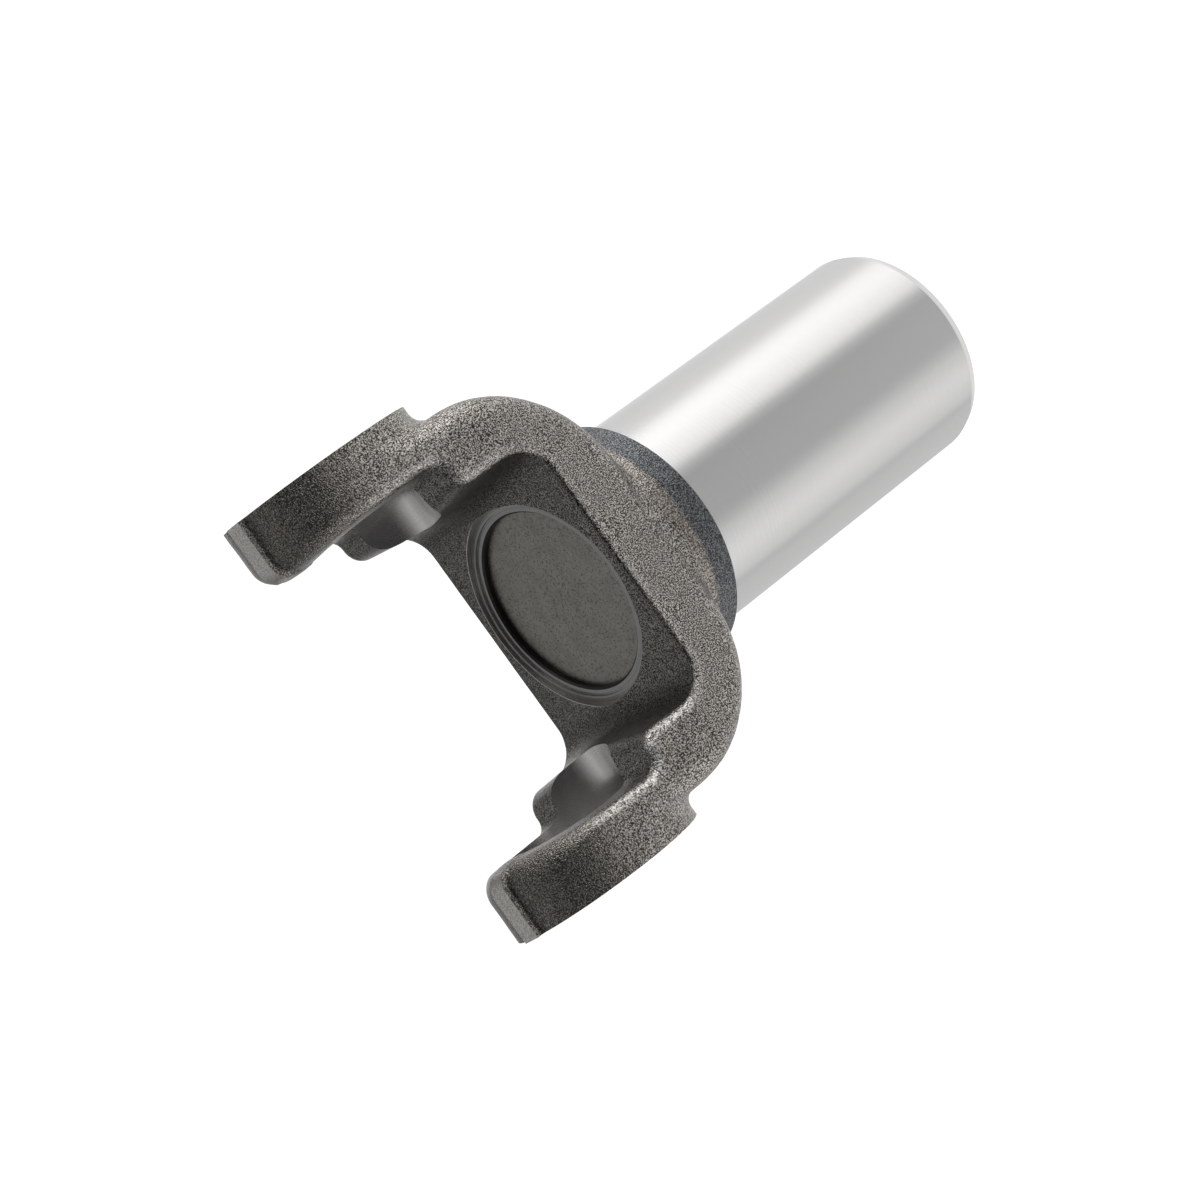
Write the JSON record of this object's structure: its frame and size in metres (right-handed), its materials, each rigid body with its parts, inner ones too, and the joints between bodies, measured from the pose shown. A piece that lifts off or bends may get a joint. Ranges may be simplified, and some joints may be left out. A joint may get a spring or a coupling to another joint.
{
  "type": "slip yoke",
  "caption": "Forged steel slip yoke: two bored ears for a universal joint's cross on a saddle, with a ground hollow barrel, internal splines and an expansion plug at the crotch.",
  "frame": {"origin": "centre of the barrel's open end, which the part stands on", "axes": "+Z along the barrel's axis towards the ears, +X along the cross bore, y = 0 is the forging's parting plane"},
  "size_m": [0.0976, 0.055, 0.1621],
  "materials": {
    "forged_steel": "shot-blasted forging skin, with ground barrel and machined bores",
    "plug_steel": "dull pressed sheet steel"
  },
  "bodies": {
    "root": {"yoke": "forged_steel", "expansion_plug": "plug_steel"}
  },
  "joints": []
}
